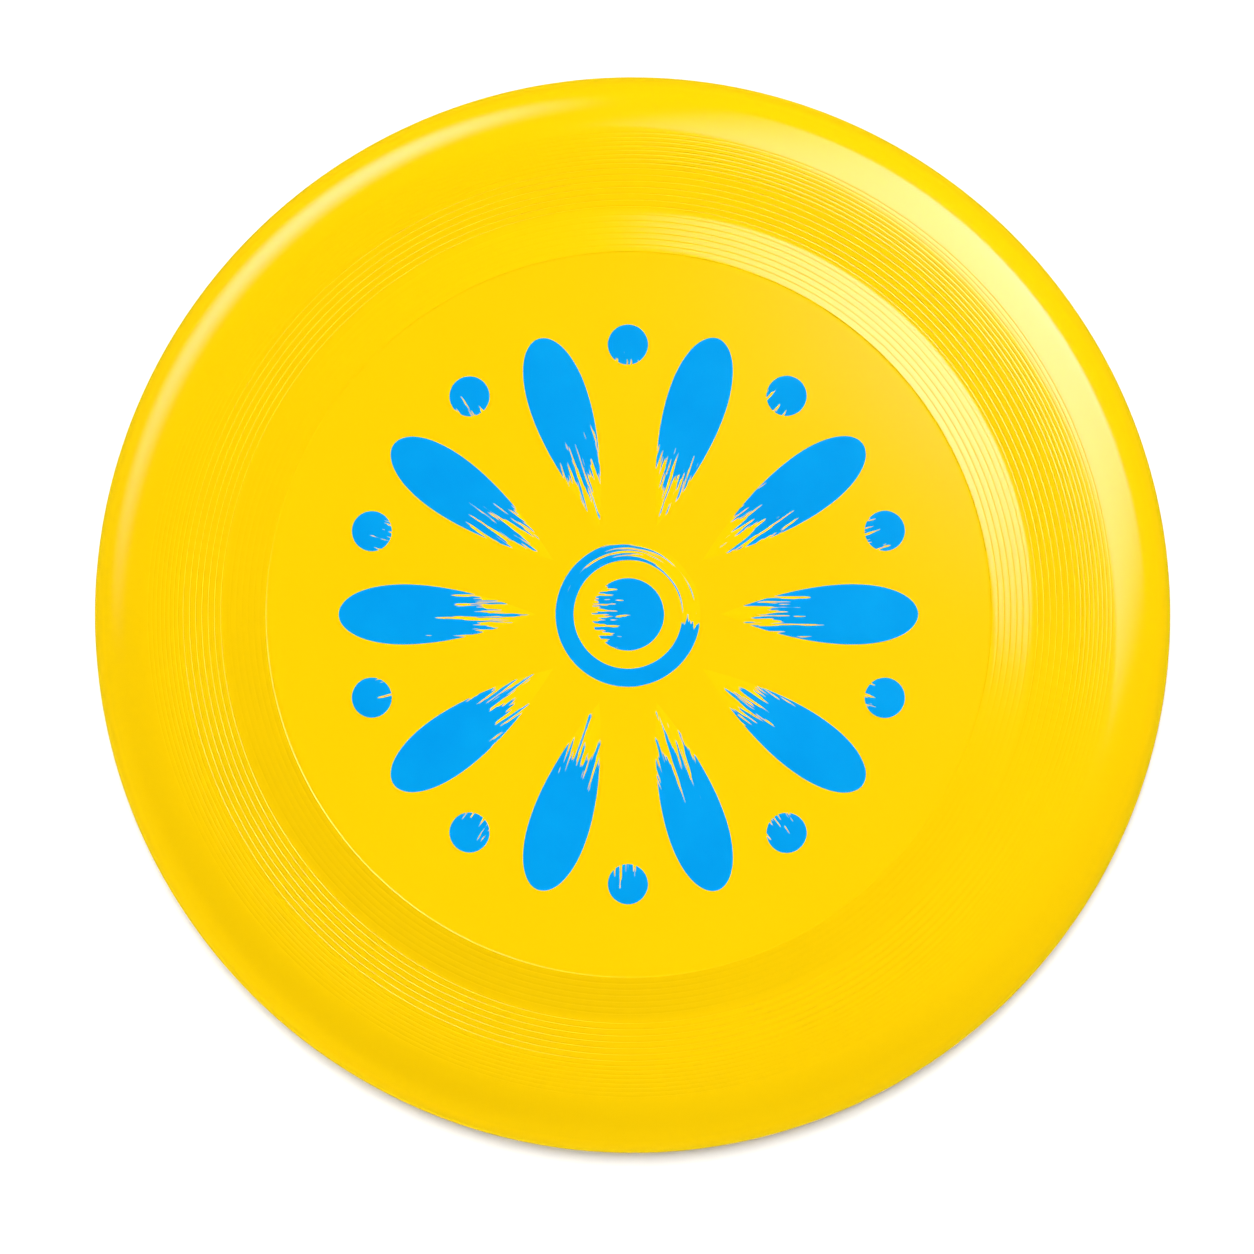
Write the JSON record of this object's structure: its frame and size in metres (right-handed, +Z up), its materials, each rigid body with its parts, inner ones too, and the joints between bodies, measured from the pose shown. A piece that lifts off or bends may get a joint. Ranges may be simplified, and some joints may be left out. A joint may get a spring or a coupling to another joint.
{
  "type": "flying disc",
  "caption": "Round moulded flying disc for throwing and catching: flat printed centre plate, concentric flight rings, rounded shoulder and a hollow underside inside a rounded rim.",
  "frame": {"origin": "on the spin axis, in the plane of the rim foot that the disc rests on", "axes": "+Z up along the spin axis, out of the printed face; +X through the middle of the first petal of the print"},
  "size_m": [0.273, 0.273, 0.032],
  "materials": {
    "yellow_plastic": "glossy yellow polyethylene, as moulded",
    "blue_ink": "satin blue screen ink"
  },
  "bodies": {
    "root": {"disc_body": "yellow_plastic", "print_hub": "blue_ink", "print_hub_ring": "blue_ink", "print_petal_01": "blue_ink", "print_petal_02": "blue_ink", "print_petal_03": "blue_ink", "print_petal_04": "blue_ink", "print_petal_05": "blue_ink", "print_petal_06": "blue_ink", "print_petal_07": "blue_ink", "print_petal_08": "blue_ink", "print_petal_09": "blue_ink", "print_petal_10": "blue_ink", "print_dot_01": "blue_ink", "print_dot_02": "blue_ink", "print_dot_03": "blue_ink", "print_dot_04": "blue_ink", "print_dot_05": "blue_ink", "print_dot_06": "blue_ink", "print_dot_07": "blue_ink", "print_dot_08": "blue_ink", "print_dot_09": "blue_ink", "print_dot_10": "blue_ink"}
  },
  "joints": []
}
